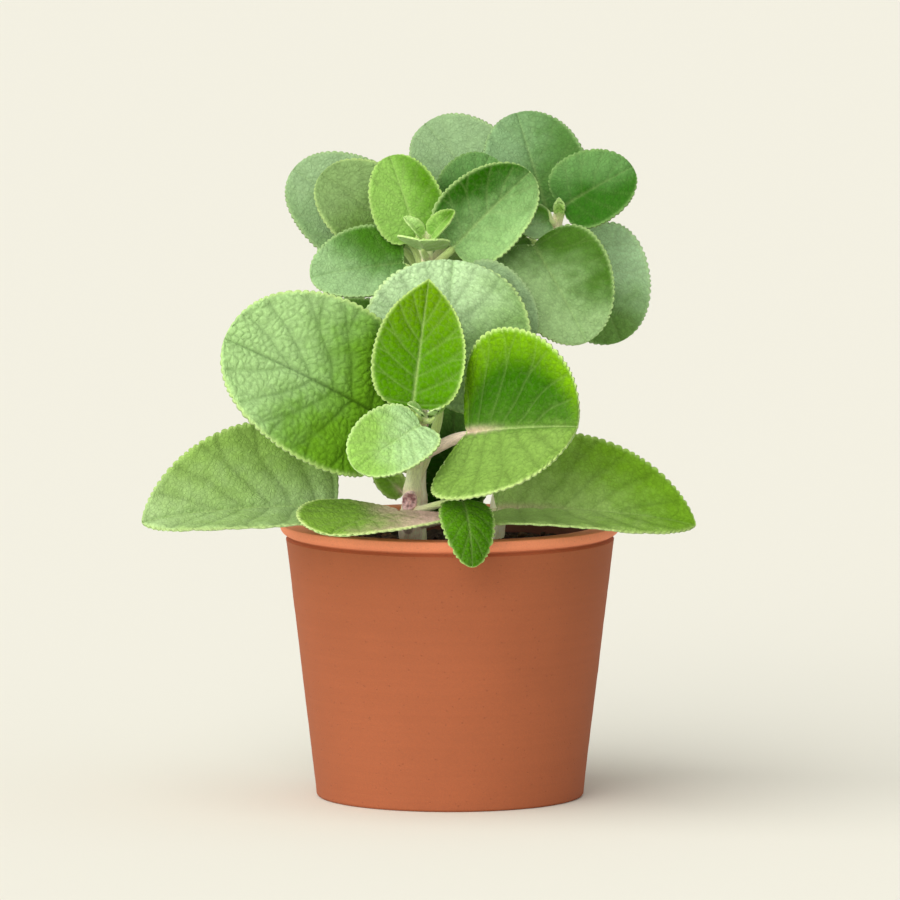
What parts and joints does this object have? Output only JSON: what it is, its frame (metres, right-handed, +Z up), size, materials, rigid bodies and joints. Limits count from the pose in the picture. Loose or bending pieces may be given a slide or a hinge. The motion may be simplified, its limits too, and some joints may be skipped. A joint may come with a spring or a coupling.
{
  "type": "potted indian borage",
  "caption": "Young indian borage plant with round, toothed, velvety leaves on leafy stems, growing in soil in a plain terracotta pot.",
  "frame": {"origin": "middle of the pot's flat base, on the surface that it stands on", "axes": "+Z up, -Y towards the front that the picture shows, +X to the right seen from the front"},
  "size_m": [0.2365, 0.2185, 0.2897],
  "materials": {
    "clay": "matte",
    "soil": "matte",
    "fresh_leaf": "matte",
    "pale_leaf": "matte"
  },
  "bodies": {
    "root": {"pot": "clay", "soil": "soil", "front_shoot": "fresh_leaf", "left_shoot": "pale_leaf", "right_shoot": "pale_leaf", "back_shoot": "fresh_leaf"}
  },
  "joints": []
}
